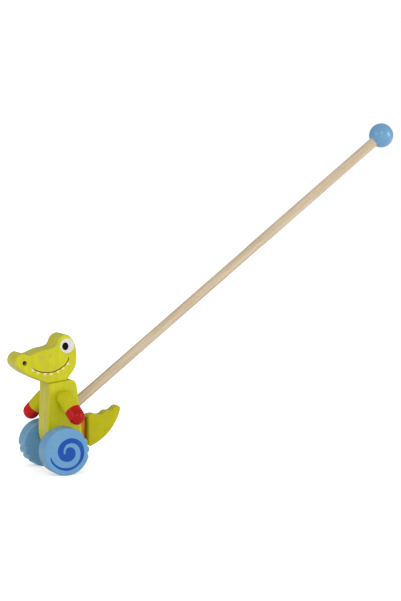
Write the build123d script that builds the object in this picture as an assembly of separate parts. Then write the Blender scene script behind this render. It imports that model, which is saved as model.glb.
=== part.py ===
"""A wooden crocodile push toy on two wheels, pushed by a stick with a ball on its end.

Frame: the toy faces -X, the stick leans back to +X, Z is up and the floor is Z = 0.
The origin is the floor point under the middle of the axle. All lengths are millimetres.
"""

import os
from math import cos, radians, sin, tan

from build123d import *

# Shared clearances and overrun
RUNNING_FIT = 0.08
SIDE_PLAY = 0.3
CUT_OVERRUN = 5.0

# Wheels
WHEEL_DIAMETER = 55.0
WHEEL_THICKNESS = 22.0
WHEEL_EDGE_ROUND = 2.0
WHEEL_BORE_DEPTH = 15.0
TOE_GROOVE_DEPTH = 1.7
TOE_GROOVE_RADIUS = 2.6
TOE_EASING = 2.8
TOE_COUNT = 3
TOE_PITCH_ANGLE = 21.5
LEFT_FIRST_TOE_ANGLE = -7.0
RIGHT_FIRST_TOE_ANGLE = -171.0

# Axle and its spacer rings
AXLE_DIAMETER = 8.0
SPACER_DIAMETER = 16.0
SPACER_THICKNESS = 8.0

# Body block, sawn from a plank
BODY_THICKNESS = 32.0
BODY_FRONT = -11.2
BODY_FRONT_LEAN = 3.2
BODY_DEPTH_AT_TOP = 34.1
BODY_DEPTH_AT_BOTTOM = 46.4
BODY_BELOW_AXLE = 12.5
SEAT_ABOVE_STICK = 27.6
BODY_BACK_SWELL = 1.2
BODY_BELLY_ROUND = 32.0
BODY_RUMP_ROUND = 12.0
BODY_SHOULDER_ROUND = 8.0
BODY_EDGE_ROUND = 2.4
SEAT_TILT_ANGLE = 7.0

# Head, sawn to a profile and set on the tilted seat of the body
HEAD_THICKNESS = 34.0
HEAD_LENGTH = 76.0
HEAD_HEIGHT = 53.4
HEAD_EDGE_ROUND_SHARE = 0.037
NOSTRIL_DIAMETER = 5.4
NOSTRIL_FROM_SEAT_FRONT = -25.9
NOSTRIL_ABOVE_SEAT = 28.5
NECK_DOWEL_DIAMETER = 6.0
NECK_DOWEL_LENGTH = 18.0
NECK_DOWEL_COUNT = 2
NECK_DOWEL_INSET = 5.0
NECK_DOWEL_PITCH = 10.0

# The head's outline from the back of its seat over the top to the front of its seat:
# shares of the head's length along the seat, and of its height above the seat.
HEAD_OUTLINE_SHARES = [
    (0.275, 0.0), (0.335, 0.055), (0.39, 0.13), (0.445, 0.215), (0.485, 0.32),
    (0.507, 0.465), (0.514, 0.60), (0.504, 0.74), (0.475, 0.86), (0.43, 0.955),
    (0.365, 1.0), (0.30, 0.985), (0.255, 0.945), (0.225, 0.89), (0.18, 0.795),
    (0.095, 0.755), (0.013, 0.75), (-0.088, 0.728), (-0.174, 0.695), (-0.257, 0.685),
    (-0.346, 0.747), (-0.432, 0.702), (-0.474, 0.60), (-0.474, 0.505), (-0.441, 0.425),
    (-0.35, 0.30), (-0.278, 0.222), (-0.201, 0.152), (-0.128, 0.088), (-0.066, 0.037),
    (0.005, 0.0),
]

# Arms: two pegs, each on its own dowel that turns stiffly in the body
ARM_DIAMETER = 19.0
ARM_REACH = 27.4
ARM_SPREAD_ANGLE = 40.5
ARM_FLAT_DEPTH = 3.0
LEFT_SHOULDER_X = 6.4
LEFT_SHOULDER_ABOVE_WHEELS = 31.4
LEFT_ARM_SWING_ANGLE = 20.7
RIGHT_SHOULDER_X = -3.1
RIGHT_SHOULDER_ABOVE_WHEELS = 28.2
RIGHT_ARM_SWING_ANGLE = -27.6
SHOULDER_DOWEL_DIAMETER = 8.0
SHOULDER_DOWEL_DEPTH_IN_BODY = 13.0
SHOULDER_DOWEL_DEPTH_IN_ARM = 11.0

# Tail and the leather strap that carries it
TAIL_GAP = 10.8
TAIL_THICKNESS = 15.0
TAIL_LENGTH = 41.2
TAIL_HEIGHT = 47.2
TAIL_BELOW_STRAP = 5.1
TAIL_EDGE_ROUND = 1.8
TAIL_CORNER_ROUND = 3.0
STRAP_THICKNESS = 2.8
STRAP_WIDTH = 30.0
STRAP_ABOVE_WHEELS = 4.5
STRAP_DEPTH_IN_BODY = 9.0
STRAP_DEPTH_IN_TAIL = 12.0

# The tail's outline from the top of its front face over the humps and round the tip:
# shares of the tail's length behind its front face, and of its height above its bottom.
TAIL_HUMP_SHARES = [
    (0.0, 0.822), (0.18, 0.835), (0.36, 0.80), (0.46, 0.83), (0.55, 0.885),
    (0.66, 0.885), (0.735, 0.905), (0.80, 0.955), (0.90, 1.0), (0.975, 0.98),
    (1.0, 0.91), (0.975, 0.84),
]
TAIL_BACK_MIDDLE_SHARES = (0.69, 0.395)

# Push stick and its ball
STICK_DIAMETER = 12.0
STICK_SLOPE_ANGLE = 37.4
STICK_ABOVE_STRAP = 16.5
STICK_DEPTH_IN_BODY = 24.0
STICK_BODY_TO_BALL = 523.0
BALL_DIAMETER = 30.5
STICK_DEPTH_IN_BALL = 20.0

# Places that follow from the sizes. Heights build up from the wheels, so that a piece keeps
# clear of the one below it, and the body reaches below the axle by a set amount.
AXLE_HEIGHT = WHEEL_DIAMETER / 2
BODY_BOTTOM = AXLE_HEIGHT - BODY_BELOW_AXLE
LEFT_SHOULDER_HEIGHT = WHEEL_DIAMETER + LEFT_SHOULDER_ABOVE_WHEELS
RIGHT_SHOULDER_HEIGHT = WHEEL_DIAMETER + RIGHT_SHOULDER_ABOVE_WHEELS
STRAP_TOP = WHEEL_DIAMETER + STRAP_ABOVE_WHEELS
STRAP_BOTTOM = STRAP_TOP - STRAP_WIDTH
TAIL_BOTTOM = STRAP_BOTTOM - TAIL_BELOW_STRAP
STICK_ENTRY_HEIGHT = STRAP_TOP + STICK_ABOVE_STRAP
BODY_HEIGHT = STICK_ENTRY_HEIGHT + SEAT_ABOVE_STICK
BODY_SIDE = BODY_THICKNESS / 2
WHEEL_INNER_FACE = BODY_SIDE + SPACER_THICKNESS + SIDE_PLAY
BODY_BACK_AT_TOP = BODY_FRONT + BODY_DEPTH_AT_TOP
BODY_FRONT_AT_BOTTOM = BODY_FRONT - BODY_FRONT_LEAN
BODY_BACK_AT_BOTTOM = BODY_FRONT_AT_BOTTOM + BODY_DEPTH_AT_BOTTOM

# The head's own frame: X along the tilted seat, Y up from it, origin at its front edge
SEAT_PLANE = Plane(
    origin=(BODY_FRONT, 0, BODY_HEIGHT),
    x_dir=(cos(radians(SEAT_TILT_ANGLE)), 0, sin(radians(SEAT_TILT_ANGLE))),
    z_dir=(0, -1, 0),
)


def seat_height(x):
    """Height of the tilted seat between body and head, at a place along X."""
    return BODY_HEIGHT + (x - BODY_FRONT) * tan(radians(SEAT_TILT_ANGLE))


def round_rod(diameter, start, end):
    """A round rod between two points."""
    start = Vector(start)
    run = Vector(end) - start
    return Plane(origin=start, z_dir=run) * Cylinder(
        diameter / 2, run.length, align=(Align.CENTER, Align.CENTER, Align.MIN)
    )


def cross_rod(diameter, x, z, length):
    """A round rod across the toy, centred on its middle plane."""
    return round_rod(diameter, (x, -length / 2, z), (x, length / 2, z))


def plank(face, thickness, edge_round, plane=Plane.XZ):
    """A plank sawn to a flat shape, centred on the middle plane, with both rims rounded."""
    block = extrude(plane * face, thickness / 2, both=True)
    sides = block.faces().filter_by(Plane.XZ).sort_by(Axis.Y)
    rims = sides[0].edges() + sides[-1].edges()
    return fillet(rims, edge_round)


def body_back(height):
    """Where the swollen back face of the body lies along X, at a height."""
    top = seat_height(BODY_BACK_AT_TOP)
    share_up = (height - BODY_BOTTOM) / (top - BODY_BOTTOM)
    straight = BODY_BACK_AT_BOTTOM + (BODY_BACK_AT_TOP - BODY_BACK_AT_BOTTOM) * share_up
    return straight + 4 * BODY_BACK_SWELL * share_up * (1 - share_up)


def body_face():
    """The body's side: leaning front, swollen back, tilted seat, and three rounded corners."""
    top_front = (BODY_FRONT, BODY_HEIGHT)
    bottom_front = (BODY_FRONT_AT_BOTTOM, BODY_BOTTOM)
    bottom_back = (BODY_BACK_AT_BOTTOM, BODY_BOTTOM)
    top_back = (BODY_BACK_AT_TOP, seat_height(BODY_BACK_AT_TOP))
    middle_height = (top_back[1] + BODY_BOTTOM) / 2
    outline = [
        Line(top_front, bottom_front),
        Line(bottom_front, bottom_back),
        ThreePointArc(bottom_back, (body_back(middle_height), middle_height), top_back),
        Line(top_back, top_front),
    ]
    face = make_face(outline)
    corners = (
        (bottom_front, BODY_BELLY_ROUND),
        (bottom_back, BODY_RUMP_ROUND),
        (top_back, BODY_SHOULDER_ROUND),
    )
    for corner, radius in corners:
        nearest = face.vertices().sort_by_distance(Vector(*corner))[0]
        face = fillet(nearest, radius)
    return face


def stick_points():
    """Both ends of the stick, and the middle of the ball, from where it enters the body."""
    entry = Vector(body_back(STICK_ENTRY_HEIGHT), 0, STICK_ENTRY_HEIGHT)
    along = Vector(cos(radians(STICK_SLOPE_ANGLE)), 0, sin(radians(STICK_SLOPE_ANGLE)))
    low_end = entry - along * STICK_DEPTH_IN_BODY
    ball_middle = entry + along * STICK_BODY_TO_BALL
    high_end = ball_middle + along * (STICK_DEPTH_IN_BALL - BALL_DIAMETER / 2)
    return low_end, high_end, ball_middle


def make_stick():
    """The plain round stick, glued in the body and in the ball."""
    low_end, high_end, _ = stick_points()
    return round_rod(STICK_DIAMETER, low_end, high_end)


def make_handle_ball():
    """The ball on the stick's end, with a blind bore for the stick."""
    _, _, ball_middle = stick_points()
    return Pos(*ball_middle) * Sphere(BALL_DIAMETER / 2) - make_stick()


def make_neck_dowel(number):
    """One of the dowels that locate the head, square to the seat and half in each piece."""
    along_seat = NECK_DOWEL_INSET + number * NECK_DOWEL_PITCH
    low_end = SEAT_PLANE.from_local_coords(Vector(along_seat, -NECK_DOWEL_LENGTH / 2, 0))
    high_end = SEAT_PLANE.from_local_coords(Vector(along_seat, NECK_DOWEL_LENGTH / 2, 0))
    return round_rod(NECK_DOWEL_DIAMETER, low_end, high_end)


def make_neck_dowels():
    """Both neck dowels, front first."""
    return [make_neck_dowel(number) for number in range(NECK_DOWEL_COUNT)]


def make_tail_strap():
    """The leather strap, upright on the middle plane, let into body and tail."""
    front = STRAP_START - STRAP_DEPTH_IN_BODY
    back = TAIL_FRONT + STRAP_DEPTH_IN_TAIL
    corner = (Align.MIN, Align.CENTER, Align.MIN)
    return Pos(front, 0, STRAP_BOTTOM) * Box(back - front, STRAP_THICKNESS, STRAP_WIDTH, align=corner)


def make_body_block():
    """The body, bored for axle, shoulder dowel, neck dowels and stick, and slotted for the strap."""
    body = plank(body_face(), BODY_THICKNESS, BODY_EDGE_ROUND)
    through = BODY_THICKNESS + CUT_OVERRUN
    body -= cross_rod(AXLE_DIAMETER + 2 * RUNNING_FIT, 0, AXLE_HEIGHT, through)
    body -= shoulder_bore(LEFT)
    body -= shoulder_bore(RIGHT)
    for dowel in make_neck_dowels():
        body -= dowel
    body -= make_stick()
    body -= make_tail_strap()
    return body


def make_head():
    """The head, with its nostril drilled through and bored for the neck dowels."""
    points = [(along * HEAD_LENGTH, up * HEAD_HEIGHT) for along, up in HEAD_OUTLINE_SHARES]
    profile = Spline(*points, tangents=((1, 0), (1, 0)), tangent_scalars=(1, 1))
    seat = Line(points[-1], points[0])
    edge_round = HEAD_EDGE_ROUND_SHARE * HEAD_LENGTH
    head = plank(make_face([profile, seat]), HEAD_THICKNESS, edge_round, SEAT_PLANE)
    nostril = SEAT_PLANE.from_local_coords(Vector(NOSTRIL_FROM_SEAT_FRONT, NOSTRIL_ABOVE_SEAT, 0))
    head -= cross_rod(NOSTRIL_DIAMETER, nostril.X, nostril.Z, HEAD_THICKNESS + CUT_OVERRUN)
    for dowel in make_neck_dowels():
        head -= dowel
    return head


def shoulder_place(side):
    """Where one arm's dowel crosses the toy's side: its place along X and its height."""
    if side == LEFT:
        return LEFT_SHOULDER_X, LEFT_SHOULDER_HEIGHT
    return RIGHT_SHOULDER_X, RIGHT_SHOULDER_HEIGHT


def make_shoulder_dowel(side):
    """The dowel that one arm is glued to, and that turns in the body."""
    x, z = shoulder_place(side)
    inner_y = side * (BODY_SIDE - SHOULDER_DOWEL_DEPTH_IN_BODY)
    outer_y = side * (BODY_SIDE + SIDE_PLAY + SHOULDER_DOWEL_DEPTH_IN_ARM)
    return round_rod(SHOULDER_DOWEL_DIAMETER, (x, inner_y, z), (x, outer_y, z))


def shoulder_bore(side):
    """The blind bore in the body that a shoulder dowel turns in."""
    x, z = shoulder_place(side)
    inner_y = side * (BODY_SIDE - SHOULDER_DOWEL_DEPTH_IN_BODY - SIDE_PLAY)
    outer_y = side * (BODY_SIDE + CUT_OVERRUN)
    bore_diameter = SHOULDER_DOWEL_DIAMETER + 2 * RUNNING_FIT
    return round_rod(bore_diameter, (x, inner_y, z), (x, outer_y, z))


def make_arm(side, swing_angle):
    """One arm: a peg with round ends, a small flat towards the body and a bore for its dowel."""
    x, z = shoulder_place(side)
    flat_y = BODY_SIDE + SIDE_PLAY
    outward = ARM_REACH * sin(radians(ARM_SPREAD_ANGLE))
    downward = ARM_REACH * cos(radians(ARM_SPREAD_ANGLE))
    shoulder = Vector(x, side * (flat_y + ARM_DIAMETER / 2 - ARM_FLAT_DEPTH), z)
    hand = shoulder + Vector(
        downward * sin(radians(swing_angle)),
        side * outward,
        -downward * cos(radians(swing_angle)),
    )
    arm = round_rod(ARM_DIAMETER, shoulder, hand)
    for end in (shoulder, hand):
        arm += Pos(*end) * Sphere(ARM_DIAMETER / 2)
    waste_size = ARM_DIAMETER + ARM_REACH
    waste = Pos(x, side * (flat_y - waste_size / 2), z) * Box(waste_size, waste_size, waste_size)
    return arm - waste - make_shoulder_dowel(side)


def make_wheel(side, first_toe_angle):
    """One wheel: a thick disc with rounded rims, toe grooves and a blind bore for the axle."""
    radius = WHEEL_DIAMETER / 2
    disc = Circle(radius)
    groove_place = radius + TOE_GROOVE_RADIUS - TOE_GROOVE_DEPTH
    for number in range(TOE_COUNT):
        angle = radians(first_toe_angle + number * TOE_PITCH_ANGLE)
        disc -= Pos(groove_place * cos(angle), groove_place * sin(angle)) * Circle(TOE_GROOVE_RADIUS)
    corners = [vertex for vertex in disc.vertices() if vertex.center().length < radius + CUT_OVERRUN]
    disc = fillet(corners, TOE_EASING)
    wheel = extrude(Plane.XZ * disc, WHEEL_THICKNESS / 2, both=True)
    sides = wheel.faces().filter_by(Plane.XZ)
    wheel = fillet(sides.edges(), WHEEL_EDGE_ROUND)
    middle_y = side * (WHEEL_INNER_FACE + WHEEL_THICKNESS / 2)
    return Pos(0, middle_y, AXLE_HEIGHT) * wheel - make_axle()


def make_axle():
    """The axle dowel, glued in both wheels and turning in the body."""
    return cross_rod(AXLE_DIAMETER, 0, AXLE_HEIGHT, 2 * (WHEEL_INNER_FACE + WHEEL_BORE_DEPTH))


def make_axle_spacer(side):
    """The ring between body and wheel, glued to the body and clear of the axle."""
    inner = (0, side * BODY_SIDE, AXLE_HEIGHT)
    outer = (0, side * (BODY_SIDE + SPACER_THICKNESS), AXLE_HEIGHT)
    return round_rod(SPACER_DIAMETER, inner, outer) - round_rod(
        AXLE_DIAMETER + 2 * RUNNING_FIT, inner, outer
    )


def make_tail():
    """The tail, with three humps on top, a round back and a slot for the strap."""
    def place(share):
        return (TAIL_FRONT + share[0] * TAIL_LENGTH, TAIL_BOTTOM + share[1] * TAIL_HEIGHT)

    humps = [place(share) for share in TAIL_HUMP_SHARES]
    foot = (TAIL_FRONT, TAIL_BOTTOM)
    back = ThreePointArc(humps[-1], place(TAIL_BACK_MIDDLE_SHARES), foot)
    top = Spline(*humps, tangents=((1, 0), back % 0))
    face = make_face([top, back, Line(foot, humps[0])])
    for corner in (foot, humps[0]):
        nearest = face.vertices().sort_by_distance(Vector(*corner))[0]
        face = fillet(nearest, TAIL_CORNER_ROUND)
    return plank(face, TAIL_THICKNESS, TAIL_EDGE_ROUND) - make_tail_strap()


STRAP_START = body_back(STRAP_BOTTOM + STRAP_WIDTH / 2)
TAIL_FRONT = STRAP_START + TAIL_GAP
LEFT = -1
RIGHT = 1

neck_dowel_front, neck_dowel_rear = make_neck_dowels()

NODES = {
    "body_block": make_body_block(),
    "head": make_head(),
    "neck_dowel_front": neck_dowel_front,
    "neck_dowel_rear": neck_dowel_rear,
    "arm_left": make_arm(LEFT, LEFT_ARM_SWING_ANGLE),
    "arm_right": make_arm(RIGHT, RIGHT_ARM_SWING_ANGLE),
    "shoulder_dowel_left": make_shoulder_dowel(LEFT),
    "shoulder_dowel_right": make_shoulder_dowel(RIGHT),
    "axle": make_axle(),
    "axle_spacer_left": make_axle_spacer(LEFT),
    "axle_spacer_right": make_axle_spacer(RIGHT),
    "wheel_left": make_wheel(LEFT, LEFT_FIRST_TOE_ANGLE),
    "wheel_right": make_wheel(RIGHT, RIGHT_FIRST_TOE_ANGLE),
    "tail": make_tail(),
    "tail_strap": make_tail_strap(),
    "stick": make_stick(),
    "handle_ball": make_handle_ball(),
}

os.makedirs("parts", exist_ok=True)
for name, shape in NODES.items():
    shape.label = name
    export_step(shape, f"parts/{name}.step")
    print(name, "volume", round(shape.volume), "mm3")
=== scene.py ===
"""Looks of the wooden crocodile push toy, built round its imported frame.

The toy faces -X, its stick leans back to +X, its left side is towards -Y and Z is up.
Lengths are metres. Places come from the frame's own nodes wherever a node has them.
"""

import logging
from abc import ABC, abstractmethod
from dataclasses import dataclass
from enum import Enum
from functools import cache
from math import radians
from typing import NamedTuple

import bmesh
import bpy
import numpy as np
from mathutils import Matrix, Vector


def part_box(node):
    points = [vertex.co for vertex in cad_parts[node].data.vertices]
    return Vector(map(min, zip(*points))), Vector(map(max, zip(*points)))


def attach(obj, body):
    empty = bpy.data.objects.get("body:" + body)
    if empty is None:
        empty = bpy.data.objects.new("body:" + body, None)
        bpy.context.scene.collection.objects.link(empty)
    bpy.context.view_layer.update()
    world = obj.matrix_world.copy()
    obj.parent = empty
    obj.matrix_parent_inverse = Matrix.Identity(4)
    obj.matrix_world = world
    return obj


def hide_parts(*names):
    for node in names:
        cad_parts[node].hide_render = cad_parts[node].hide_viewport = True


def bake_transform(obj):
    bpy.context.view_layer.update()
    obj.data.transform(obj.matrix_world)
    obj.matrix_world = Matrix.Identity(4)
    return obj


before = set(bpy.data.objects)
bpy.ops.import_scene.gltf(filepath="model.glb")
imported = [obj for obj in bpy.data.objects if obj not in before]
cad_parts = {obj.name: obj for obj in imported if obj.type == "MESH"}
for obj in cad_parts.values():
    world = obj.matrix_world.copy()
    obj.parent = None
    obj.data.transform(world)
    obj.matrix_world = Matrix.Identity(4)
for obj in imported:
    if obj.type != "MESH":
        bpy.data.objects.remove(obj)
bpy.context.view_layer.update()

LOG = logging.getLogger("push_toy")
MM = 0.001
PRINT_FILM = 0.05 * MM
BUMP_DISTANCE = 0.2 * MM
WELD_DISTANCE = 0.0002 * MM
FLAT_TOLERANCE = 0.001 * MM
SHORTEST_WAY = 0.0001 * MM
SHARP_ANGLE = radians(40)

# The share of its width that a printed stroke keeps at its tip
TIP = 0.01

Colour = tuple[float, float, float, float]
Place = tuple[float, float, float]
Pair = tuple[float, float]
Socket = bpy.types.NodeSocket


class Side(Enum):
    """The two sides of the toy, as the sign of Y."""

    LEFT = -1
    RIGHT = 1

    @property
    def word(self) -> str:
        """The side's name as nodes have it."""
        return self.name.lower()


class Hue(NamedTuple):
    """A colour, as red, green and blue from 0 to 255."""

    red: int
    green: int
    blue: int

    def linear(self) -> Colour:
        """The colour in the linear values that a shader takes, with alpha."""
        share = np.array(self) / 255
        curve = np.where(share <= 0.04045, share / 12.92, ((share + 0.055) / 1.055) ** 2.4)
        return (*curve.tolist(), 1.0)


class Paint(Enum):
    """The lacquers: the coat, the coat where it lies thick, sawn edges (their grain, plus painted
    shade and sheen), and bare fibres.
    """

    LIME = (Hue(204, 204, 22), Hue(186, 184, 10), Hue(198, 195, 36), Hue(180, 166, 52))
    # Painted shade: a darker copy of the lime for the tail and the arms, which wear the body's
    # lacquer.
    LIME_SHADED = (Hue(190, 186, 12), Hue(176, 168, 6), *LIME[2:])
    SKY = (Hue(107, 160, 201), Hue(93, 148, 193), Hue(100, 154, 190), Hue(113, 146, 170))


class Ink(Enum):
    """The printing inks: each one's colour, and its colour where it is thin."""

    BLUE = (Hue(33, 76, 164), Hue(44, 88, 170))
    BROWN = (Hue(82, 42, 8), Hue(106, 64, 14))
    CREAM = (Hue(238, 228, 186), Hue(222, 214, 140))
    GREY = (Hue(160, 172, 104), Hue(184, 190, 70))
    WHITE = (Hue(222, 218, 216), Hue(210, 205, 202))
    BLACK = (Hue(8, 8, 8), Hue(20, 18, 16))


class Effect(Enum):
    """The shared effects, each a node group of this name."""

    GRAIN = "wood_grain"
    RIM = "sawn_rim"
    COAT = "brushed_coat"


class NodeSheet:
    """A shader node tree, with short ways of placing and joining its nodes."""

    def __init__(self, tree: bpy.types.NodeTree) -> None:
        """Keeps the tree and clears it."""
        self.tree = tree
        self.tree.nodes.clear()

    def give(self, target: Socket, value: object) -> None:
        """Sets an input, or joins it to a socket.

        Args:
            target: the input.
            value: a socket, a colour, or a plain value.
        """
        if isinstance(value, Socket):
            self.tree.links.new(value, target)
        elif isinstance(value, Hue):
            target.default_value = value.linear()
        else:
            target.default_value = value

    def node(self, kind: str, values: dict | None = None, **settings: object) -> bpy.types.Node:
        """Places a node.

        Args:
            kind: the node's type name, without ShaderNode.
            values: what to give each input, by its name or number.
            settings: the node's own properties.

        Returns:
            The new node.
        """
        prefix = "" if kind.startswith("NodeGroup") else "ShaderNode"
        made = self.tree.nodes.new(prefix + kind)
        for name, value in settings.items():
            setattr(made, name, value)
        for key, value in (values or {}).items():
            self.give(made.inputs[key], value)
        return made

    def place(self) -> Socket:
        """The place on the object."""
        return self.node("TexCoord").outputs["Object"]

    def attribute(self, name: str) -> Socket:
        """The number that each of the mesh's points carries under a name."""
        return self.node("Attribute", attribute_name=name).outputs["Fac"]

    def math(self, operation: str, *terms: object) -> Socket:
        """The result of a Math node on one to three terms."""
        return self.node("Math", dict(enumerate(terms)), operation=operation).outputs[0]

    def vector(self, operation: str, *terms: object) -> Socket:
        """The vector that a Vector Math node makes of its terms."""
        return self.node("VectorMath", dict(enumerate(terms)), operation=operation).outputs[0]

    def dot(self, first: object, second: object) -> Socket:
        """The dot product of two vectors."""
        made = self.node("VectorMath", {0: first, 1: second}, operation="DOT_PRODUCT")
        return made.outputs["Value"]

    def weigh(self, weights: dict, base: object = None) -> Socket:
        """Adds up sockets, each times its weight.

        Args:
            weights: the weight of each socket.
            base: what to add them to, if anything.

        Returns:
            The sum.
        """
        total = base
        for value, weight in weights.items():
            if total is None:
                total = self.math("MULTIPLY", value, weight)
            else:
                total = self.math("MULTIPLY_ADD", value, weight, total)
        return total

    def noise(self, place: object, scale: object, detail: float = 2.0) -> Socket:
        """Noise from 0 to 1 at a place."""
        return self.node("TexNoise", {"Vector": place, "Scale": scale, "Detail": detail}).outputs[0]

    def step(self, value: object, low: float, high: float) -> Socket:
        """A smooth step: 0 at low, 1 at high. With low above high it falls."""
        first, last = (0.0, 1.0) if low < high else (1.0, 0.0)
        values = {0: value, 1: min(low, high), 2: max(low, high), 3: first, 4: last}
        return self.node("MapRange", values, interpolation_type="SMOOTHSTEP").outputs[0]

    def patches(
        self, place: object, scale: object, detail: float, low: float, high: float
    ) -> Socket:
        """Patches that rise from 0 to 1 where noise at a place rises from low to high."""
        return self.step(self.noise(place, scale, detail), low, high)

    def mix(self, share: object, first: object, second: object) -> Socket:
        """Mixes two colours: the first where the share is 0, the second where it is 1."""
        return self.node("Mix", {0: share, 6: first, 7: second}, data_type="RGBA").outputs[2]

    def bump(self, height: object, strength: float, distance: float = BUMP_DISTANCE) -> Socket:
        """The normal of a surface that carries a fine height."""
        values = {"Height": height, "Strength": strength, "Distance": distance}
        return self.node("Bump", values).outputs["Normal"]

    def effect(self, effect: Effect, values: dict) -> bpy.types.NodeOutputs:
        """Places a shared effect, gives its inputs their values, and gives its outputs back."""
        return self.node("Group", values, node_tree=bpy.data.node_groups[effect.value]).outputs


@dataclass(frozen=True)
class EffectBuilder:
    """Builds the shared effects as node groups.

    Attributes:
        pore_fineness: how much finer than fibres pores are.
        squeeze: the share of the place along the grain that is taken away.
        sway: how far slow noise bends the rings.
    """

    pore_fineness: float = 1.7
    squeeze: float = 0.95
    sway: float = 6 * MM

    def open(
        self, effect: Effect, takes: dict, gives: tuple
    ) -> tuple[NodeSheet, dict, bpy.types.NodeInputs]:
        """Starts a group with its sockets.

        Args:
            effect: which effect the group is for.
            takes: the default of each input, a vector or a number.
            gives: the names of the outputs, all plain numbers.

        Returns:
            The group's sheet, what it is given by name, and where its results go.
        """
        tree = bpy.data.node_groups.new(effect.value, "ShaderNodeTree")
        for name, default in takes.items():
            kind = "NodeSocketVector" if isinstance(default, tuple) else "NodeSocketFloat"
            socket = tree.interface.new_socket(name, in_out="INPUT", socket_type=kind)
            socket.default_value = default
        for name in gives:
            tree.interface.new_socket(name, in_out="OUTPUT", socket_type="NodeSocketFloat")
        sheet = NodeSheet(tree)
        given = sheet.node("NodeGroupInput").outputs
        return sheet, {name: given[name] for name in takes}, sheet.node("NodeGroupOutput").inputs

    def grain(self) -> None:
        """Wood grain: fibres, growth rings and pores, drawn out along one direction.

        The place loses most of its part along the grain, so that any noise read there is
        long that way. Slow noise first pushes the place about, which bends the rings.
        """
        takes = {"Place": (0, 0, 0), "Along": (0, 0, 1), "Fibre Scale": 900.0, "Ring Scale": 160.0}
        sheet, given, result = self.open(Effect.GRAIN, takes, ("Fibre", "Ring", "Pore"))
        reach = sheet.dot(given["Place"], given["Along"])
        values = {0: given["Along"], "Scale": reach}
        lengthwise = sheet.node("VectorMath", values, operation="SCALE").outputs[0]
        squeezed = sheet.vector("MULTIPLY_ADD", lengthwise, (-self.squeeze,) * 3, given["Place"])
        sway = sheet.node("TexNoise", {"Vector": squeezed, "Scale": 60.0, "Detail": 1.0})
        bent = sheet.vector("MULTIPLY_ADD", sway.outputs["Color"], (self.sway,) * 3, squeezed)
        coarse = given["Fibre Scale"]
        fine = sheet.math("MULTIPLY", coarse, self.pore_fineness)
        fibre = sheet.patches(squeezed, coarse, detail=4.0, low=0.34, high=0.66)
        ring = sheet.patches(bent, given["Ring Scale"], detail=1.5, low=0.40, high=0.62)
        pore = sheet.patches(squeezed, fine, detail=1.0, low=0.60, high=0.74)
        sheet.give(result["Fibre"], fibre)
        sheet.give(result["Ring"], ring)
        sheet.give(result["Pore"], pore)

    def rim(self) -> None:
        """Where a sawn piece turns from its flat side to its edge, from the normal's Y.

        The rim is four times the square of that Y times one less the square: one at 45
        degrees and nothing on the flats. The edge is one less the square. Noise breaks up
        the rim into rubbed spots.
        """
        sheet, given, result = self.open(Effect.RIM, {"Amount": 0.5}, ("Edge", "Rubbed"))
        place = sheet.node("TexCoord")
        across = sheet.node("SeparateXYZ", {0: place.outputs["Normal"]}).outputs["Y"]
        squared = sheet.math("MULTIPLY", across, across)
        rest = sheet.math("SUBTRACT", 1.0, squared)
        turn = sheet.math("MULTIPLY", sheet.math("MULTIPLY", squared, rest), 4.0)
        spots = sheet.patches(place.outputs["Object"], 240.0, detail=5.0, low=0.52, high=0.64)
        rubbed = sheet.math("MULTIPLY", sheet.step(turn, low=0.4, high=1.0), spots)
        sheet.give(result["Edge"], sheet.step(rest, low=0.25, high=0.9))
        sheet.give(result["Rubbed"], sheet.math("MULTIPLY", rubbed, given["Amount"]))

    def coat(self) -> None:
        """A brushed coat: slow clouds of thickness, orange peel, and a few small dings."""
        takes = {"Place": (0, 0, 0)}
        sheet, given, result = self.open(Effect.COAT, takes, ("Cloud", "Peel", "Ding"))
        place = given["Place"]
        cells = sheet.node("TexVoronoi", {"Vector": place, "Scale": 75.0})
        dent = sheet.step(cells.outputs["Distance"], low=0.09, high=0.02)
        few = sheet.patches(place, scale=40.0, detail=1.0, low=0.56, high=0.62)
        cloud = sheet.patches(place, scale=55.0, detail=3.0, low=0.3, high=0.7)
        sheet.give(result["Cloud"], cloud)
        sheet.give(result["Peel"], sheet.noise(place, scale=650.0))
        sheet.give(result["Ding"], sheet.math("MULTIPLY", dent, few))

    def build(self) -> None:
        """Builds every effect."""
        self.grain()
        self.rim()
        self.coat()


@dataclass(frozen=True)
class Finish(ABC):
    """A finish, which makes one material.

    Attributes:
        name: the material's name.
    """

    name: str

    @abstractmethod
    def lay_out(self, sheet: NodeSheet) -> dict:
        """Draws the finish's nodes.

        Args:
            sheet: the material's sheet.

        Returns:
            What to give each input of the Principled shader.
        """

    def make(self) -> bpy.types.Material:
        """Makes the material."""
        material = bpy.data.materials.new(self.name)
        material.use_nodes = True
        sheet = NodeSheet(material.node_tree)
        shader = sheet.node("BsdfPrincipled", self.lay_out(sheet))
        sheet.node("OutputMaterial", {"Surface": shader.outputs[0]})
        return material


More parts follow.
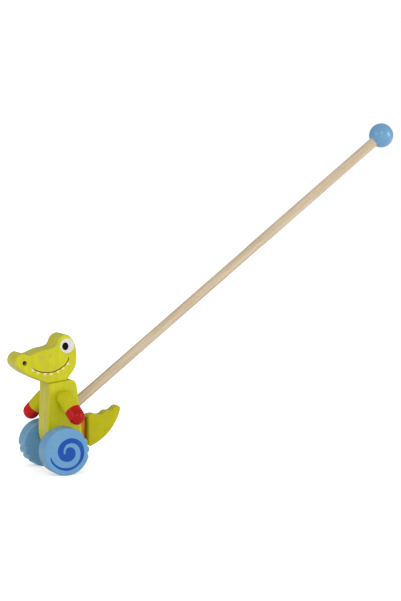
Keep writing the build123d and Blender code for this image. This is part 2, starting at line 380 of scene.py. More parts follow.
@dataclass(frozen=True)
class LacqueredWood(Finish):
    """Coloured semi-gloss lacquer over wood whose grain just shows.

    Attributes:
        paint: the lacquer's colours.
        along: the direction of the grain, a unit vector.
        edge_share: how far the sawn edges differ, 0 on a turned piece.
        rubbed_share: how far the rims are rubbed.
        roughness: the lacquer's mean roughness where there is no pore.
        unevenness: how much rougher it is in clouds and in pores.
        gloss: how much clear coat lies over the lacquer.
        shine: the lacquer's own specular level.
    """

    paint: Paint
    along: Place = (0, 0, 1)
    edge_share: float = 0.8
    rubbed_share: float = 0.35
    roughness: float = 0.34
    unevenness: float = 0.1
    gloss: float = 0.08
    shine: float = 0.25

    def overlay(
        self, sheet: NodeSheet, place: Socket, colour: Socket, cloud: Socket
    ) -> tuple[Socket, object, object]:
        """Lays nothing over the lacquer; a dipped piece lays its second colour.

        Args:
            sheet: the material's sheet.
            place: the place on the object.
            colour: the lacquer's colour.
            cloud: how thick the coat lies.

        Returns:
            The colour, how much of the grain still shows, and how much clear coat there is.
        """
        return colour, 1.0, self.gloss

    def lay_out(self, sheet: NodeSheet) -> dict:
        """Draws grain under lacquer, the sawn edges, and what is laid over them."""
        thin, deep, edge, streak = self.paint.value
        place = sheet.place()
        grain = sheet.effect(Effect.GRAIN, {"Place": place, "Along": self.along})
        coat = sheet.effect(Effect.COAT, {"Place": place})
        rim = sheet.effect(Effect.RIM, {"Amount": self.rubbed_share})
        fibre, ring, pore = grain["Fibre"], grain["Ring"], grain["Pore"]
        cloud = coat["Cloud"]
        shade = sheet.weigh({fibre: 0.16, ring: 0.14, cloud: 0.35})
        colour = sheet.mix(shade, thin, deep)
        stain = sheet.patches(place, scale=85.0, detail=5.0, low=0.48, high=0.72)
        colour = sheet.mix(sheet.weigh({ring: 0.12, stain: 0.24}), colour, streak)
        worn = sheet.step(sheet.weigh({ring: 0.5}, base=fibre), low=0.45, high=1.4)
        # Sawn edges, found by the normal, take the edge colour: partly their grain, partly painted
        # shade and sheen.
        edge_share = sheet.weigh({rim["Edge"]: self.edge_share})
        colour = sheet.mix(edge_share, colour, sheet.mix(worn, edge, streak))
        colour = sheet.mix(rim["Rubbed"], colour, streak)
        colour, shown, gloss = self.overlay(sheet, place, colour, cloud)
        height = sheet.math("MULTIPLY", sheet.weigh({fibre: 0.3, pore: -0.4}), shown)
        height = sheet.weigh({coat["Peel"]: 0.3, coat["Ding"]: -1.2}, base=height)
        rougher = {cloud: self.unevenness, pore: self.unevenness}
        return {
            "Base Color": colour,
            "Roughness": sheet.weigh(rougher, base=self.roughness - self.unevenness / 2),
            "Normal": sheet.bump(height, strength=0.2),
            "Specular IOR Level": self.shine,
            "Coat Weight": gloss,
            "Coat Roughness": 0.12,
        }


@dataclass(frozen=True)
class DippedWood(LacqueredWood):
    """Lacquered wood whose end is dipped in a second colour, up to a plane.

    Attributes:
        dip: the second colour.
        dip_deep: the second colour where it lies thick.
        dip_gloss: how much clear coat the second colour adds.
        line: a point on the dip line.
        towards: the direction of the dipped end, a unit vector.
        waver: how far the line wavers.
        start: how far past the line the second colour starts.
        full: how far past it the second colour is full.
    """

    dip: Hue = Hue(194, 10, 6)
    dip_deep: Hue = Hue(164, 7, 4)
    dip_gloss: float = 0.14
    line: Place = (0, 0, 0)
    towards: Place = (0, 0, -1)
    waver: float = 0.8 * MM
    start: float = 0.30 * MM
    full: float = 0.55 * MM

    def overlay(
        self, sheet: NodeSheet, place: Socket, colour: Socket, cloud: Socket
    ) -> tuple[Socket, object, object]:
        """Lays the second colour past the dip line, which wavers a little."""
        reach = sheet.dot(sheet.vector("SUBTRACT", place, self.line), self.towards)
        reach = sheet.weigh({sheet.noise(place, scale=160.0): self.waver}, base=reach)
        dipped = sheet.step(reach, self.start, self.full)
        second = sheet.mix(cloud, self.dip, self.dip_deep)
        gloss = sheet.weigh({dipped: self.dip_gloss}, base=self.gloss)
        return sheet.mix(dipped, colour, second), sheet.math("SUBTRACT", 1.0, dipped), gloss


@dataclass(frozen=True)
class BareWood(Finish):
    """Pale wood under a thin clear coat.

    Attributes:
        along: the direction of the grain, a unit vector.
        early: the early wood's colour.
        late: the late wood's colour.
        pores: the pores' colour.
    """

    along: Place = (0, 0, 1)
    early: Hue = Hue(210, 193, 165)
    late: Hue = Hue(190, 167, 139)
    pores: Hue = Hue(150, 124, 92)

    def lay_out(self, sheet: NodeSheet) -> dict:
        """Draws early and late wood in long bands, with short dark pores."""
        place = sheet.place()
        values = {"Place": place, "Along": self.along, "Fibre Scale": 1100.0, "Ring Scale": 300.0}
        grain = sheet.effect(Effect.GRAIN, values)
        cloud = sheet.effect(Effect.COAT, {"Place": place})["Cloud"]
        share = sheet.weigh({grain["Ring"]: 0.55, grain["Fibre"]: 0.35})
        colour = sheet.mix(share, self.early, self.late)
        height = sheet.weigh({grain["Pore"]: -0.8}, base=grain["Fibre"])
        return {
            "Base Color": sheet.mix(sheet.weigh({grain["Pore"]: 0.4}), colour, self.pores),
            "Roughness": sheet.weigh({cloud: 0.14}, base=0.44),
            "Normal": sheet.bump(height, strength=0.2),
            "Specular IOR Level": 0.3,
            "Coat Weight": 0.1,
            "Coat Roughness": 0.3,
        }


@dataclass(frozen=True)
class StrapLeather(Finish):
    """Smooth tan leather, creased across, with burnished cut edges, and painted shade where it goes
    into the tail.

    Attributes:
        tan: the leather's colour.
        deep: its colour in mottles and creases.
        burnish: the cut edges' colour.
        tail_shade: the colour of the painted shade at the end that goes into the tail.
    """

    tan: Hue = Hue(228, 148, 40)
    deep: Hue = Hue(200, 116, 30)
    burnish: Hue = Hue(116, 66, 26)
    # A dark brown for painted shade where the strap goes into the tail.
    tail_shade: Hue = Hue(112, 62, 8)

    def lay_out(self, sheet: NodeSheet) -> dict:
        """Draws mottling, creases along the strap's width, a fine pebble and painted shade near the
        tail.
        """
        place = sheet.place()
        pebble = sheet.node("TexVoronoi", {"Vector": place, "Scale": 1500.0}).outputs["Distance"]
        mottle = sheet.noise(place, scale=140.0, detail=4.0)
        squeezed = sheet.vector("MULTIPLY", place, (1.0, 1.0, 0.15))
        crease = sheet.noise(squeezed, scale=700.0, detail=3.0)
        mottled = sheet.step(mottle, low=0.35, high=0.7)
        creased = sheet.step(crease, low=0.55, high=0.75)
        colour = sheet.mix(sheet.weigh({mottled: 0.6, creased: 0.4}), self.tan, self.deep)
        colour = sheet.mix(sheet.attribute("cut_edge"), colour, self.burnish)
        # Painted shade: the strap darkens towards the tail, where the tail shades it in its slot.
        shaded_near_tail = sheet.step(sheet.attribute("tail_end"), low=0.6, high=1.0)
        return {
            "Base Color": sheet.mix(shaded_near_tail, colour, self.tail_shade),
            "Roughness": sheet.weigh({mottle: 0.2}, base=0.42),
            "Normal": sheet.bump(sheet.weigh({crease: -1.5}, base=pebble), strength=0.4),
            "Specular IOR Level": 0.25,
        }


@dataclass(frozen=True)
class PrintInk(Finish):
    """A printed mark's ink, a little thin where the fibres stand up.

    Attributes:
        ink: the ink's colours.
    """

    ink: Ink

    def lay_out(self, sheet: NodeSheet) -> dict:
        """Draws the ink's body and its thin places."""
        place = sheet.place()
        fibre = sheet.effect(Effect.GRAIN, {"Place": place})["Fibre"]
        coat = sheet.effect(Effect.COAT, {"Place": place})
        thinned = sheet.weigh({fibre: 0.4, coat["Cloud"]: 0.4})
        return {
            "Base Color": sheet.mix(thinned, *self.ink.value),
            "Roughness": sheet.weigh({coat["Cloud"]: 0.1}, base=0.45),
            "Normal": sheet.bump(coat["Peel"], strength=0.1, distance=0.1 * MM),
            "Specular IOR Level": 0.08,
        }


@dataclass(frozen=True)
class PaperFloor(Finish):
    """Pale paper, whose light is topped up to white where the camera sees it.

    The top-up is least at the toy, which keeps its shadow, and grows away from it.
    """

    def lay_out(self, sheet: NodeSheet) -> dict:
        """Draws the paper, and the top-up by the distance from the toy."""
        place = sheet.place()
        shade = sheet.weigh({sheet.noise(place, scale=3.0): 0.02}, base=0.9)
        seen = sheet.node("LightPath").outputs["Is Camera Ray"]
        away = sheet.node("VectorMath", {0: place}, operation="LENGTH").outputs["Value"]
        lift = sheet.weigh({sheet.step(away, low=0.1, high=1.2): 0.3}, base=0.45)
        return {
            "Base Color": sheet.node("CombineColor", dict.fromkeys(range(3), shade)).outputs[0],
            "Roughness": 0.8,
            "Specular IOR Level": 0.0,
            "Emission Color": (1, 1, 1, 1),
            "Emission Strength": sheet.math("MULTIPLY", seen, lift),
        }


@cache
def print_ink(ink: Ink) -> bpy.types.Material:
    """An ink's material, named after its colour and made when it is first used."""
    return PrintInk(f"ink_{ink.name.lower()}", ink).make()


def dress(node: str, finish: Finish) -> None:
    """Gives every material slot of a CAD node one finish, and reports it.

    Args:
        node: the node's name.
        finish: its finish.
    """
    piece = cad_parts[node]
    material = finish.make()
    for slot in piece.material_slots:
        slot.material = material
    LOG.info("dressed %s with %s", node, material.name)


def bare(node: str, along: Place) -> None:
    """Gives a CAD node bare wood, whose grain runs along a unit vector."""
    dress(node, BareWood(f"{node}_wood", along=along))


def corners(node: str) -> tuple[np.ndarray, np.ndarray]:
    """The lowest and the highest corner of a node, as arrays."""
    low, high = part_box(node)
    return np.array(low), np.array(high)


def points(mesh: bpy.types.Mesh) -> np.ndarray:
    """The place of each of a mesh's points, one to a row."""
    places = np.empty(3 * len(mesh.vertices))
    mesh.vertices.foreach_get("co", places)
    return places.reshape(-1, 3)


def around(count: int) -> np.ndarray:
    """The angles of a number of points that stand evenly round a circle."""
    return np.linspace(0, 2 * np.pi, count, endpoint=False)


def add(name: str, data: bpy.types.ID) -> bpy.types.Object:
    """Adds a mesh, a light or a camera to the scene, as an object at the origin."""
    made = bpy.data.objects.new(name, data)
    bpy.context.scene.collection.objects.link(made)
    return made


def surface(name: str, grid: np.ndarray, material: bpy.types.Material) -> bpy.types.Object:
    """Makes a mesh from a grid of points whose columns close into rings.

    Each point joins the next along its row and along its column. Points that share a
    place become one, which closes seams and poles, and the faces then turn outwards.

    Args:
        name: the object's name.
        grid: points as an array of rows, columns and three coordinates.
        material: the object's material.

    Returns:
        The new object, at the origin.
    """
    rows, columns = grid.shape[:2]
    number = np.arange(rows * columns).reshape(rows, columns)
    following = np.roll(number, -1, axis=1)
    faces = np.stack([number[:-1], following[:-1], following[1:], number[1:]], axis=-1)
    mesh = bpy.data.meshes.new(name)
    mesh.from_pydata(grid.reshape(-1, 3).tolist(), [], faces.reshape(-1, 4).tolist())
    tidy = bmesh.new()
    tidy.from_mesh(mesh)
    bmesh.ops.remove_doubles(tidy, verts=tidy.verts, dist=WELD_DISTANCE)
    bmesh.ops.recalc_face_normals(tidy, faces=tidy.faces)
    tidy.to_mesh(mesh)
    tidy.free()
    mesh.shade_smooth()
    mesh.set_sharp_from_angle(angle=SHARP_ANGLE)
    mesh.materials.append(material)
    LOG.info("built %s with %d faces", name, len(mesh.polygons))
    return add(name, mesh)


def smooth_line(knots: np.ndarray, count: int) -> np.ndarray:
    """A smooth line through knots, by Catmull and Rom's cubic.

    A share t of the way from b to c, between the neighbours a and d, the line is half of
    2b + (c - a) t + (2a - 5b + 4c - d) t squared + (3b - a - 3c + d) t cubed.

    Args:
        knots: the knots, one to a row.
        count: how many points to give.

    Returns:
        The points, with the first and the last knot among them.
    """
    padded = np.vstack([2 * knots[0] - knots[1], knots, 2 * knots[-1] - knots[-2]])
    place = np.linspace(0, len(knots) - 1, count)
    start = np.minimum(place.astype(int), len(knots) - 2)
    t = (place - start)[:, None]
    a, b, c, d = (padded[start + step] for step in range(4))
    square = (2 * a - 5 * b + 4 * c - d) * t**2
    cube = (3 * b - a - 3 * c + d) * t**3
    return (2 * b + (c - a) * t + square + cube) / 2


def stroke(path: np.ndarray, half_width: np.ndarray) -> tuple[np.ndarray, np.ndarray]:
    """Both edges of a line of changing width.

    Args:
        path: the line's knots, as X and Z.
        half_width: half the line's width at each knot.

    Returns:
        The knots of one edge and of the other, square off the path at each knot.
    """
    run = np.gradient(path, axis=0)
    run /= np.hypot(run[:, 0], run[:, 1])[:, None]
    off = np.stack([-run[:, 1], run[:, 0]], axis=-1) * half_width[:, None]
    return path + off, path - off


class FlatSide:
    """One flat side of a sawn piece with its rounded rim: what a mark is printed on.

    Attributes:
        word: the side's name, for the marks' names.
        corner: X and Z of the piece's lowest corner.
        side: which way the flat looks, as the sign of Y.
        level: the flat's place along Y.
        rim_round: the radius of the rim.
        starts: where each edge of the flat's outline starts, as X and Z.
        ends: where each edge of the outline ends.
    """

    def __init__(self, node: str, side: Side, rim_round: float) -> None:
        """Finds the outline: the edges that only one face of the flat has.

        Args:
            node: the sawn piece.
            side: which of its sides.
            rim_round: the radius of its rim.
        """
        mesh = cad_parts[node].data
        places = points(mesh)
        corner = np.empty(len(mesh.loops), dtype=int)
        mesh.loops.foreach_get("vertex_index", corner)
        self.word = side.word
        self.corner = corners(node)[0][[0, 2]]
        self.side = side.value
        self.level = self.side * (self.side * places[:, 1]).max()
        self.rim_round = rim_round
        on_flat = np.abs(places[:, 1] - self.level) < FLAT_TOLERANCE
        faces = corner.reshape(-1, 3)
        faces = faces[on_flat[faces].all(axis=1)]
        edges = np.stack([faces, np.roll(faces, -1, axis=1)], axis=-1).reshape(-1, 2)
        edges, uses = np.unique(np.sort(edges, axis=1), axis=0, return_counts=True)
        outline = edges[uses == 1]
        self.starts = places[outline[:, 0]][:, [0, 2]]
        self.ends = places[outline[:, 1]][:, [0, 2]]

    def at(self, places: tuple) -> np.ndarray:
        """X and Z of places that are given in millimetres from the lowest corner."""
        return self.corner + np.array(places) * MM

    def nearest(self, point: np.ndarray) -> tuple[np.ndarray, np.ndarray, np.ndarray]:
        """Finds the nearest point of the outline, by a square foot on each of its edges.

        Args:
            point: X and Z of each point, with an axis for the edges between.

        Returns:
            Each point's foot on the outline, the way from there to it, and its distance.
        """
        run = self.ends - self.starts
        share = ((point - self.starts) * run).sum(-1) / (run * run).sum(-1)
        foot = self.starts + np.clip(share, 0, 1)[..., None] * run
        away = point - foot
        distance = np.hypot(away[..., 0], away[..., 1])
        edge = distance.argmin(axis=1)
        row = np.arange(len(edge))
        return foot[row, edge], away[row, edge], distance[row, edge]

    def inside(self, point: np.ndarray) -> np.ndarray:
        """Tells which points lie inside: those with an odd number of edges ahead of them.

        Args:
            point: X and Z of each point, with an axis for the edges between.

        Returns:
            Whether each point is inside the outline.
        """
        run = self.ends - self.starts
        level = point[..., 1]
        beside = (self.starts[:, 1] > level) != (self.ends[:, 1] > level)
        rise = np.where(run[:, 1] == 0, 1, run[:, 1])
        crossing = self.starts[:, 0] + run[:, 0] * (level - self.starts[:, 1]) / rise
        return (beside & (crossing > point[..., 0])).sum(axis=1) % 2 == 1

    def lay(self, flat: np.ndarray, lift: np.ndarray) -> np.ndarray:
        """Wraps flat points onto the side and round its rim, as a transfer would lie.

        A point inside the outline stays where it is. One that is a length s outside goes
        round the rim's arc by the angle s / r, and on past a quarter turn along the edge.
        Each point is then lifted along the surface's normal.

        Args:
            flat: X and Z of each point.
            lift: how far each point stands off the surface.

        Returns:
            The points in space.
        """
        point = flat.reshape(-1, 1, 2)
        foot, away, distance = self.nearest(point)
        inside = self.inside(point)
        length = np.where(inside, 0, distance)
        turn = np.minimum(length / self.rim_round, np.pi / 2)
        past = length - turn * self.rim_round
        outward = away / np.maximum(distance, SHORTEST_WAY)[:, None]
        lifted = lift.reshape(-1)
        beyond = (self.rim_round * np.sin(turn) + lifted * np.sin(turn))[:, None]
        laid = np.where(inside[:, None], point[:, 0], foot + outward * beyond)
        sunk = self.rim_round * (1 - np.cos(turn)) + past
        depth = self.level + self.side * (lifted * np.cos(turn) - sunk)
        return np.stack([laid[:, 0], depth, laid[:, 1]], axis=-1).reshape(*lift.shape, 3)

    def band(
        self,
        name: str,
        edges: tuple[np.ndarray, np.ndarray],
        rows: int,
        ink: Ink,
        layers: Pair = (-1, 1),
        rise: float = 0.0,
    ) -> bpy.types.Object:
        """Prints a band between two lines, as a closed film with square sides.

        A point of the band is a share of the way from one line to the other, on the film's
        underside or its top. Each end closes to the mean of its row.

        Args:
            name: the mark's name, to which the side's is added.
            edges: the knots of both lines, in pairs.
            rows: how many rows to draw along the lines.
            ink: what it is printed with.
            layers: where its underside and its top lie, in thicknesses of a print.
            rise: how much further the top stands off by the last row, for a band that
                laps over itself.

        Returns:
            The mark's object.
        """
        first, second = (smooth_line(line, rows)[:, None] for line in edges)
        share = np.array([0, 0, 0.25, 0.5, 0.75, 1, 1])[:, None]
        on_top = np.array([0, 1, 1, 1, 1, 1, 0])
        low, high = (PRINT_FILM * layer for layer in layers)
        top = high + rise * np.linspace(0, 1, rows)[:, None]
        laid = self.lay(first + (second - first) * share, low + (top - low) * on_top)
        caps = np.broadcast_to(laid[[0, -1]].mean(axis=1, keepdims=True), laid[:2].shape)
        grid = np.concatenate([caps[:1], laid, caps[1:]])
        return surface(f"{name}_{self.word}", grid, print_ink(ink))

    def disc(
        self, name: str, centre: np.ndarray, radii: tuple, ink: Ink, layers: Pair = (-1, 1)
    ) -> bpy.types.Object:
        """Prints an oval: rings from its centre to its edge, then back underneath.

        Args:
            name: the mark's name, to which the side's is added.
            centre: X and Z of the middle.
            radii: its half width and half height in millimetres.
            ink: what it is printed with.
            layers: where its underside and its top lie, in thicknesses of a print.

        Returns:
            The mark's object.
        """
        rings, columns = 16, 96
        angle = around(columns)
        turn = np.stack([np.cos(angle), np.sin(angle)], axis=-1)
        share = np.concatenate([np.linspace(0, 1, rings), np.linspace(1, 0, rings)])
        low, high = (PRINT_FILM * layer for layer in layers)
        lift = np.repeat([high, low], rings)
        flat = centre + share[:, None, None] * turn * (np.array(radii) * MM)
        laid = self.lay(flat, np.tile(lift[:, None], (1, columns)))
        return surface(f"{name}_{self.word}", laid, print_ink(ink))


@dataclass
class Head:
    """The head: a sawn profile with a face printed on both sides.

    Places of marks are X and Z in millimetres from the front lower corner of its box, and
    their sizes are millimetres too.

    Attributes:
        rim_round: the radius of its rims, in metres.
        mouth: the knots of the mouth line.
        mouth_width: how wide that line is.
        mouth_points: how many points its smooth line has.
        mouth_taper: over how many of these it tapers at each end.
        tooth_shares: where each tooth stands, as shares of these points.
        tooth_size: the teeth's width at the mouth line, and how far they reach below it.
        crosses: the middles of the small crosses on the snout.
        cross_reach: how far along X and Z their strokes run from there.
        cross_width: how wide the strokes are.
        eye: the middle of the eye's white.
        eye_radii: the white's half width and half height.
        pupil: the middle of the pupil.
        pupil_radii: the pupil's half width and half height.
    """

    rim_round: float = 2.81 * MM
    mouth: tuple = (
        (19.4, 19.3), (22.3, 17.4), (25.6, 15.6), (30.4, 14.0), (35.9, 13.2), (39.9, 13.0),
        (43.9, 13.3), (47.9, 14.3), (51.9, 16.0), (55.9, 18.2), (59.9, 21.2), (62.6, 24.6),
        (63.9, 27.4), (64.0, 30.0),
    )
    mouth_width: float = 1.15
    mouth_points: int = 61
    mouth_taper: int = 5
    tooth_shares: tuple = (0.065, 0.188, 0.315, 0.442, 0.588, 0.715, 0.825)
    tooth_size: Pair = (4.9, 4.1)
    crosses: tuple = ((30.9, 29.9), (41.9, 33.0))
    cross_reach: Pair = (3.22, 3.45)
    cross_width: float = 0.8
    eye: Pair = (62.5, 43.3)
    eye_radii: Pair = (8.5, 8.5)
    pupil: Pair = (60.2, 42.6)
    pupil_radii: Pair = (3.9, 4.5)

    def build(self) -> None:
        """Lacquers the head and prints the face on each side."""
        dress("head", LacqueredWood("head_lime", Paint.LIME))
        for side in Side:
            flat = FlatSide("head", side, self.rim_round)
            for mark in self.smile(flat) + self.snout(flat) + self.gaze(flat):
                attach(mark, "toy_body")

    def smile(self, flat: FlatSide) -> list:
        """Prints the mouth line, whose ends taper by a square root, and the teeth.

        A tooth's edges run straight from both ends of its root on the line to its tip.

        Args:
            flat: the side to print on.

        Returns:
            The marks' objects.
        """
        path = smooth_line(flat.at(self.mouth), self.mouth_points)
        number = np.arange(self.mouth_points)
        taper = np.clip(np.minimum(number, number[::-1]) / self.mouth_taper, TIP, 1)
        edges = stroke(path, self.mouth_width / 2 * MM * np.sqrt(taper))
        made = [flat.band("mouth", edges, rows=241, ink=Ink.BROWN)]
        width, height = np.array(self.tooth_size) * MM
        rows = np.linspace(0, 1 - 2 * TIP, 5)[:, None]
        for tooth, share in enumerate(self.tooth_shares):
            near = int(share * (self.mouth_points - 1))
            root = path[near]
            along = path[near + 1] - root
            along /= np.hypot(*along)
            tip = root + np.array([along[1], -along[0]]) * height
            ends = (root - along * width / 2, root + along * width / 2)
            edges = tuple((1 - rows) * end + rows * tip for end in ends)
            name = f"tooth_{tooth}"
            made.append(flat.band(name, edges, rows=9, ink=Ink.CREAM, layers=(-1, 0.6)))
        return made

    def snout(self, flat: FlatSide) -> list:
        """Prints the crosses: a falling stroke, and a rising one that lies over it.

        A stroke is as wide as the square root of one less the cube of the share of the way
        from its middle to its tip.

        Args:
            flat: the side to print on.

        Returns:
            The marks' objects.
        """
        rows = np.linspace(-1, 1, 9)[:, None]
        half_width = self.cross_width / 2 * MM * np.sqrt(1 - (1 - TIP) * np.abs(rows[:, 0]) ** 3)
        made = []
        for cross, centre in enumerate(self.crosses):
            for word, hand, top in (("down", -1, 1), ("up", 1, 2)):
                reach = np.array(self.cross_reach) * (1, hand) * MM
                edges = stroke(flat.at(centre) + rows * reach, half_width)
                name = f"cross_{cross}_{word}"
                made.append(flat.band(name, edges, rows=25, ink=Ink.GREY, layers=(-1, top)))
        return made

    def gaze(self, flat: FlatSide) -> list:
        """Prints the eye's white with the pupil over it, and gives both back."""
        white = flat.disc("eye", flat.at(self.eye), self.eye_radii, Ink.WHITE)
        middle = flat.at(self.pupil)
        return [white, flat.disc("pupil", middle, self.pupil_radii, Ink.BLACK, layers=(0, 2))]


class Body:
    """The body block, its neck dowels, and the rings beside it."""

    def build(self) -> None:
        """Lacquers the block and gives dowels and rings bare wood."""
        dress("body_block", LacqueredWood("body_lime", Paint.LIME))
        for place in ("front", "rear"):
            bare(f"neck_dowel_{place}", (0, 0, 1))
        for side in Side:
            bare(f"axle_spacer_{side.word}", (0, 1, 0))


@dataclass
class Arm:
    """One arm: a green peg with round ends and a dipped red hand, and its dowel.

    Attributes:
        side: which arm.
        radius: the peg's radius.
        shoulder_out: how far the middle of its shoulder stands off its flat.
        dip_back: how far the dip line lies behind the middle of the hand.
    """

    side: Side
    radius: float = 9.5 * MM
    shoulder_out: float = 6.5 * MM
    dip_back: float = 9.7 * MM

    def build(self) -> None:
        """Finds the peg's line from its box and its dowel, and dips the hand."""
        arm, dowel = f"arm_{self.side.word}", f"shoulder_dowel_{self.side.word}"
        low, high = corners(arm)
        dowel_low, dowel_high = corners(dowel)
        shoulder_x = (dowel_low[0] + dowel_high[0]) / 2
        forward = shoulder_x - low[0] > high[0] - shoulder_x
        hand_x = low[0] + self.radius if forward else high[0] - self.radius
        flat_y, end_y = (low[1], high[1]) if self.side is Side.RIGHT else (high[1], low[1])
        shoulder_y = flat_y + self.side.value * self.shoulder_out
        hand_y = end_y - self.side.value * self.radius
        shoulder = np.array([shoulder_x, shoulder_y, high[2] - self.radius])
        hand = np.array([hand_x, hand_y, low[2] + self.radius])
        towards = (hand - shoulder) / np.linalg.norm(hand - shoulder)
        finish = DippedWood(
            f"{arm}_dipped",
            # the darker lime, as painted shade
            Paint.LIME_SHADED,
            along=tuple(towards),
            edge_share=0.0,
            rubbed_share=0.0,
            roughness=0.42,
            shine=0.1,
            line=tuple(hand - towards * self.dip_back),
            towards=tuple(towards),
        )
        dress(arm, finish)
        bare(dowel, (0, 1, 0))


@dataclass
class WheelPair:
    """Both wheels on their axle, a spiral printed on each outer face.

    Attributes:
        rim_round: the radius of the wheels' rims.
        lap: how much thicker the print is where the spiral's end laps over it.
        outer: knots of the spiral's outer edge, from its tip inwards: millimetres from the
            wheel's middle, seen from outside with the toy's front to the left.
        inner: the knots of its inner edge, in pairs with the outer ones. It stands still
            while the outer edge goes round it.
        turn: how far each side's spiral is turned, in degrees, seen from outside.
    """

    rim_round: float = 2.0 * MM
    lap: float = 0.1 * MM
    outer: tuple = (
        (-20.0, -4.2), (-20.6, -6.4), (-19.7, -10.1), (-17.5, -13.4), (-13.3, -17.3), (-8.9, -19.8),
        (-4.4, -21.2), (0.0, -21.7), (5.0, -20.9), (10.0, -18.7), (14.4, -15.3), (17.8, -11.4),
        (20.0, -6.7), (20.8, -2.3), (20.3, 2.7), (18.9, 7.2), (16.1, 11.1), (11.1, 14.4),
        (6.7, 15.6), (3.3, 15.8), (-0.6, 14.9), (-4.4, 13.0), (-7.8, 10.2), (-10.6, 6.1),
        (-11.7, 1.1), (-11.1, -2.8), (-9.2, -6.7), (-6.1, -9.5), (-2.2, -11.0), (1.1, -11.2),
        (4.4, -10.5), (7.8, -8.1), (9.7, -5.1), (10.1, -1.7), (9.4, 1.1), (8.1, 3.3),
        (5.8, 4.9), (2.9, 5.4), (0.6, 4.9), (-1.1, 3.5), (-1.9, 1.6), (-2.2, -0.6),
        (-2.8, -2.6), (-3.0, -3.4),
    )
    inner: tuple = (
        (-19.9, -4.3), (-19.3, -5.6), (-18.1, -8.6), (-16.1, -11.4), (-12.4, -14.8), (-8.3, -17.0),
        (-4.2, -18.1), (0.0, -18.3), (4.6, -17.9), (8.6, -16.3), (11.9, -13.8), (14.3, -10.4),
        (15.7, -6.6), (16.1, -2.3), (15.4, 1.9), (13.6, 5.6), (11.2, 7.9), (8.0, 9.5),
        (5.0, 9.9), (2.6, 9.7), (0.3, 9.0), (-1.7, 7.7), (-3.0, 5.9), (-4.1, 3.4),
        (-4.6, 0.2), (-3.7, -2.3), (-1.0, -2.8), (1.5, -3.0), (3.0, -3.0),
        *((3.4, -3.0),) * 8,
        (3.2, -3.0), (2.8, -3.0), (2.2, -3.0), (1.6, -3.0), (1.0, -3.1), (0.4, -3.3), (0.0, -3.7),
    )
    turn: tuple = ((Side.LEFT, 0.0), (Side.RIGHT, -45.0))

    def build(self) -> None:
        """Lacquers the wheels and prints a spiral on each."""
        bare("axle", (0, 1, 0))
        for side, turn in self.turn:
            node = f"wheel_{side.word}"
            dress(node, LacqueredWood(f"{node}_sky", Paint.SKY, along=(1, 0, 0), edge_share=0.6))
            low, high = corners(node)
            middle = ((low + high) / 2)[[0, 2]]
            cosine, sine = np.cos(radians(turn)), np.sin(radians(turn))
            seen = np.array([[cosine, sine], [-sine, cosine]]) * [-side.value, 1] * MM
            edges = tuple(middle + np.array(line) @ seen for line in (self.outer, self.inner))
            flat = FlatSide(node, side, self.rim_round)
            spiral = flat.band("spiral", edges, rows=431, ink=Ink.BLUE, rise=self.lap)
            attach(spiral, "wheels")


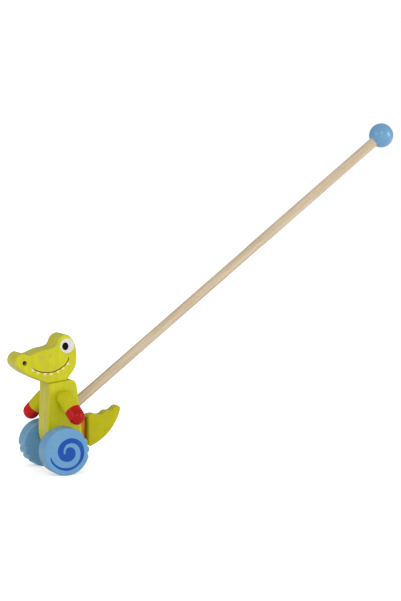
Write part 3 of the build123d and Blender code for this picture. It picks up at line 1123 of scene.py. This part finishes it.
@dataclass
class Tail:
    """The tail and the leather strap that it swings on.

    Attributes:
        waist: how much narrower the strap is in the gap.
        swell: how far its faces swell in the gap.
        corner: the radius of its cut edges.
        squareness: how square its section is, where 1 is round.
        side_play: how far each of its faces stays off its slot.
        end_play: how far each of its cut edges does.
        wave: how high the fine waves over its faces are.
        waves: how many of them go round it.
        cut_reach: how far in from a cut edge its burnish starts.
        cut_fade: over what length the burnish comes up.
        rings: how many rings of points the strap has.
        columns: how many points each ring has.
    """

    waist: float = 0.5 * MM
    swell: float = 0.2 * MM
    corner: float = 0.6 * MM
    squareness: float = 4.0
    side_play: float = 0.1 * MM
    end_play: float = 0.05 * MM
    wave: float = 0.12 * MM
    waves: int = 6
    cut_reach: float = 1.4 * MM
    cut_fade: float = 0.5 * MM
    rings: int = 121
    columns: int = 96

    def build(self) -> None:
        """Lacquers the tail and builds the leather strap in place of the frame's one."""
        # The tail takes the darker lime, as painted shade.
        dress("tail", LacqueredWood("tail_lime", Paint.LIME_SHADED, along=(1, 0, 0), shine=0.1))
        low, high = corners("tail_strap")
        gap_start = corners("body_block")[1][0] - self.swell
        gap_end = corners("tail")[0][0]
        grid = self.sheath(low, high, gap_start, gap_end)
        strap = surface("leather_strap", grid, StrapLeather("strap_leather").make())
        place = points(strap.data)
        middle = (low + high) / 2
        cut = np.abs(place[:, 2] - middle[2]) - (high - low)[2] / 2 + self.cut_reach
        along = (place[:, 0] - gap_start) / (gap_end - gap_start)
        for name, value in (("cut_edge", cut / self.cut_fade), ("tail_end", along)):
            layer = strap.data.attributes.new(name, "FLOAT", "POINT")
            layer.data.foreach_set("value", np.clip(value, 0, 1))
        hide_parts("tail_strap")
        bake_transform(strap)

    def sheath(
        self, low: np.ndarray, high: np.ndarray, gap_start: float, gap_end: float
    ) -> np.ndarray:
        """Carries the strap's rounded section along its length.

        A point goes round a small circle whose centre slides round the strap's section.
        In the gap the section narrows and bulges by a bump that is the square of a sine,
        and fine waves run over its faces. Both ends close to their middle.

        Args:
            low: the lowest corner of the strap's box.
            high: its highest corner.
            gap_start: X where the gap starts.
            gap_end: X where it ends.

        Returns:
            The strap's points, in rings.
        """
        along = np.linspace(low[0], high[0], self.rings)
        gap = np.clip((along - gap_start) / (gap_end - gap_start), 0, 1)
        bump = (np.sin(np.pi * gap) ** 2)[:, None]
        angle = around(self.columns)
        slide = np.clip(np.stack([np.cos(angle), np.sin(angle)]) * self.squareness, -1, 1)
        size = (high - low)[1:] / 2
        half_y = size[0] - self.side_play + self.swell * bump / 2
        half_z = size[1] - self.end_play - self.waist * bump
        wave = self.wave * bump * np.sin(angle * self.waves) * np.abs(np.sin(angle))
        y = (half_y - self.corner) * slide[1] + self.corner * np.sin(angle) + wave
        z = (half_z - self.corner) * slide[0] + self.corner * np.cos(angle)
        middle = (low + high) / 2
        x = np.broadcast_to(along[:, None], y.shape)
        rings = np.stack([x, middle[1] + y, middle[2] + z], axis=-1)
        tips = np.array([[end, middle[1], middle[2]] for end in along[[0, -1]]])
        caps = np.broadcast_to(tips[:, None], rings[:2].shape)
        return np.concatenate([caps[:1], rings, caps[1:]])


class PushStick:
    """The plain stick and the blue ball on its end."""

    def build(self) -> None:
        """Runs the stick's grain along it and lacquers the ball."""
        low, high = corners("stick")
        run = high - low
        slope = tuple(np.array([run[0], 0, run[2]]) / np.hypot(run[0], run[2]))
        bare("stick", slope)
        finish = LacqueredWood(
            "ball_sky",
            Paint.SKY,
            along=slope,
            edge_share=0.0,
            rubbed_share=0.0,
            roughness=0.28,
            gloss=0.6,
        )
        dress("handle_ball", finish)


@dataclass
class Studio:
    """A pale floor, three soft lamps, a white surround and the photograph's camera.

    Attributes:
        target: what the camera looks at.
        camera: where the camera stands.
        lens: its focal length in millimetres.
        lamps: each lamp's name, place, diameter and level.
        lamp_aim: what the lamps look at.
        surround: how strongly the surround lights the toy.
        mirrored: how strongly the toy's gloss shows the surround.
        floor_radius: how far the floor reaches.
    """

    target: Place = (0.1902, 0.0, 0.1924)
    camera: Place = (-0.6738, -1.8436, 0.3480)
    lens: float = 101.0
    lamps: tuple = (
        ("key", (2.0, -1.5, 0.7), 1.4, 0.32),
        ("front", (-0.6, -2.1, 1.3), 1.4, 0.17),
        ("fill", (-2.2, -0.6, 1.0), 1.6, 0.18),
    )
    lamp_aim: Place = (0.05, 0.0, 0.1)
    surround: float = 0.66
    mirrored: float = 0.32
    floor_radius: float = 6.0

    def look(self, thing: bpy.types.Object, place: Place, target: Place) -> None:
        """Stands a camera or a lamp at a place and turns it to a target."""
        thing.location = place
        way = Vector(target) - Vector(place)
        thing.rotation_euler = way.to_track_quat("-Z", "Y").to_euler()

    def lamp(self, name: str, place: Place, size: float, level: float) -> None:
        """Adds a round soft lamp.

        Its power is set from its distance, so that a pale face turned to it shows that
        share of its own colour.

        Args:
            name: the lamp's name.
            place: where it stands.
            size: its diameter.
            level: the share of a face's colour that it lights.
        """
        light = bpy.data.lights.new(name, "AREA")
        light.shape = "DISK"
        light.size = size
        way = Vector(place) - Vector(self.lamp_aim)
        light.energy = level * np.pi**2 * way.length_squared
        self.look(add(name, light), place, self.lamp_aim)

    def floor(self) -> None:
        """Lays a round floor, in rings about the origin."""
        angle = around(64)
        radius = np.linspace(0, self.floor_radius, 13)[:, None]
        flat = [radius * np.cos(angle), radius * np.sin(angle), 0 * radius * angle]
        paper = PaperFloor("studio_floor").make()
        surface("studio_floor", np.stack(flat, axis=-1), paper)

    def world(self) -> bpy.types.World:
        """Makes the white surround: full to the camera, and weaker to gloss and to the toy."""
        world = bpy.data.worlds.new("studio")
        world.use_nodes = True
        sheet = NodeSheet(world.node_tree)
        ray = sheet.node("LightPath").outputs
        gains = {
            ray["Is Glossy Ray"]: self.mirrored - self.surround,
            ray["Is Camera Ray"]: 1 - self.surround,
        }
        strength = sheet.weigh(gains, base=self.surround)
        light = sheet.node("Background", {"Color": (1, 1, 1, 1), "Strength": strength})
        sheet.node("OutputWorld", {"Surface": light.outputs[0]})
        return world

    def build(self) -> None:
        """Sets the floor, the world, the lamps and the camera."""
        scene = bpy.context.scene
        scene.view_settings.view_transform = "Standard"
        scene.world = self.world()
        self.floor()
        for lamp in self.lamps:
            self.lamp(*lamp)
        lens = bpy.data.cameras.new("camera")
        lens.lens = self.lens
        scene.camera = add("camera", lens)
        self.look(scene.camera, self.camera, self.target)
        LOG.info("set the studio")


def main() -> None:
    """Builds the effects, the studio and the toy."""
    logging.basicConfig(level=logging.INFO, format="%(name)s: %(message)s")
    arms = [Arm(side) for side in Side]
    toy = (Head(), Body(), *arms, WheelPair(), Tail(), PushStick())
    for builder in (EffectBuilder(), Studio(), *toy):
        builder.build()


if __name__ == "__main__":
    main()
